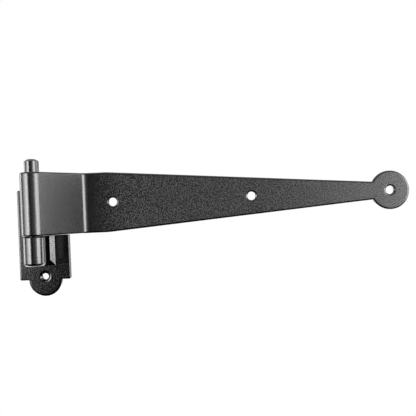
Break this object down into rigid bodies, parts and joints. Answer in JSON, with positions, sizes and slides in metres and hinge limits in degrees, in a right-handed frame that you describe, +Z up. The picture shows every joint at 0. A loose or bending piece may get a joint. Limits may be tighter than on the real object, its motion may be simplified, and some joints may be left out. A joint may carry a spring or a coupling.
{
  "type": "hook and band hinge",
  "caption": "Plate-mounted hook and band hinge: a tapered, cranked strap with a rolled eye and a round end swings on an upright shouldered pin.",
  "frame": {"origin": "centre of the mounting plate's back face, on the wall plane", "axes": "+X along the strap from the pin to the round end, +Y into the wall, +Z up along the pin"},
  "size_m": [0.2721, 0.0328, 0.0928],
  "materials": {
    "powder_coat": "fine-textured satin black powder coat on steel"
  },
  "bodies": {
    "pintle": {"mounting_plate": "powder_coat", "standoff": "powder_coat", "foot_weld": "powder_coat", "pintle_pin": "powder_coat"},
    "strap": {"strap": "powder_coat"}
  },
  "joints": [
    {"name": "strap_swing", "type": "hinge", "parent": "pintle", "child": "strap", "pos_m": [0, -0.025, 0.0206], "axis": [0, 0, -1], "range_deg": [0, 180]}
  ]
}
